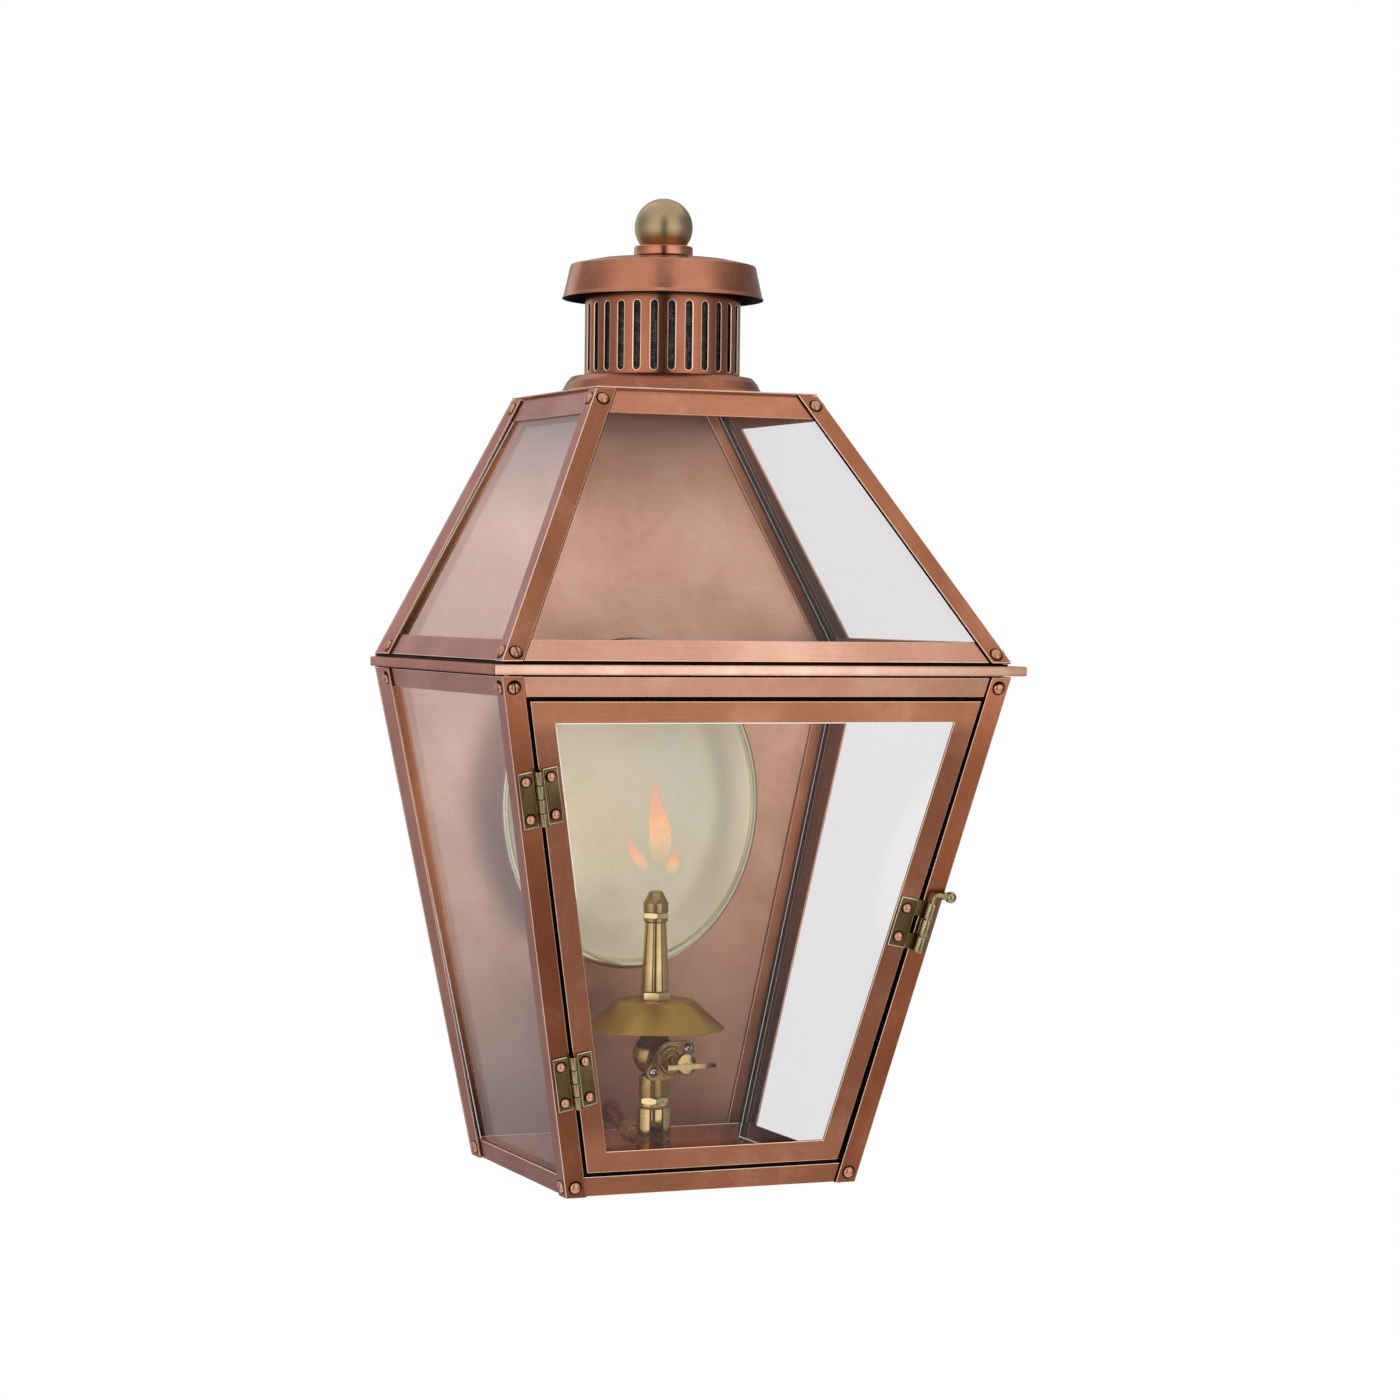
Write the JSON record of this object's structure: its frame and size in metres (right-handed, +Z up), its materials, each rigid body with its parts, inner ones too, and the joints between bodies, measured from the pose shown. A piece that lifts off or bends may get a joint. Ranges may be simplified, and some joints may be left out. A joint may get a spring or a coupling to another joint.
{
  "type": "wall lantern",
  "caption": "Copper wall lantern with a glazed tapered body, glazed roof, round vent, latched front door, reflector and open-flame gas burner.",
  "frame": {"origin": "on the wall face of the back panel, on its centre line, at the middle of the girdle collar's height", "axes": "+Z up, +Y into the wall, +X to the right as seen from in front"},
  "size_m": [0.3398, 0.2489, 0.6098],
  "materials": {
    "copper": "satin rolled copper sheet",
    "panel_copper": "mill-finish copper sheet, slightly mottled",
    "antique_brass": "antique brass with worn edges",
    "burner_brass": "turned brass",
    "pewter": "satin plated sheet",
    "gauze": "dark woven wire",
    "pane": "clear sheet glass"
  },
  "bodies": {
    "lantern": {"back_panel": "panel_copper", "body_bottom_rail_back": "copper", "body_bottom_rail_front": "copper", "body_bottom_rail_left": "copper", "body_bottom_rail_right": "copper", "body_glass_left": "pane", "body_glass_right": "pane", "body_post_back_left": "copper", "body_post_back_right": "copper", "body_post_front_left": "copper", "body_post_front_right": "copper", "body_top_rail_front": "copper", "body_top_rail_left": "copper", "body_top_rail_right": "copper", "burner_nozzle": "burner_brass", "burner_tube": "burner_brass", "chimney_crossbar": "copper", "chimney_flare": "copper", "chimney_tube": "copper", "collar_front": "copper", "collar_left": "copper", "collar_right": "copper", "finial_ball": "antique_brass", "finial_washer": "copper", "floor_plate": "copper", "heat_shield": "burner_brass", "hinge_lower_frame_leaf": "antique_brass", "hinge_upper_frame_leaf": "antique_brass", "latch_keeper": "antique_brass", "reflector": "pewter", "riser_nut": "burner_brass", "riser_tube": "burner_brass", "roof_bottom_rail_front": "copper", "roof_bottom_rail_left": "copper", "roof_bottom_rail_right": "copper", "roof_glass_front": "pane", "roof_glass_left": "pane", "roof_glass_right": "pane", "roof_post_back_left": "copper", "roof_post_back_right": "copper", "roof_post_front_left": "copper", "roof_post_front_right": "copper", "roof_top_rail_front": "copper", "roof_top_rail_left": "copper", "roof_top_rail_right": "copper", "shield_nut": "burner_brass", "supply_nut": "burner_brass", "supply_pipe": "copper", "top_plate": "copper", "valve_body": "burner_brass", "valve_cover": "burner_brass", "vent_cap": "copper", "vent_mesh": "gauze"},
    "door": {"door_frame": "copper", "door_glass": "pane", "hinge_lower_door_leaf": "antique_brass", "hinge_upper_door_leaf": "antique_brass", "latch_plate": "antique_brass"},
    "pin": {"latch_pin": "antique_brass"},
    "key": {"valve_key": "burner_brass"}
  },
  "joints": [
    {"name": "door_hinge", "type": "hinge", "parent": "lantern", "child": "door", "pos_m": [-0.11518, -0.21102, -0.15984], "axis": [0.2074, 0.2074, -0.956], "range_deg": [0, 110]},
    {"name": "pin_slide", "type": "slide", "parent": "door", "child": "pin", "axis": [0.2074, -0.2074, 0.956], "range_m": [0, 0.022]},
    {"name": "key_turn", "type": "hinge", "parent": "lantern", "child": "key", "pos_m": [0, -0.076, -0.2483], "axis": [-0.1564, 0.9877, 0], "range_deg": [0, 90]}
  ]
}
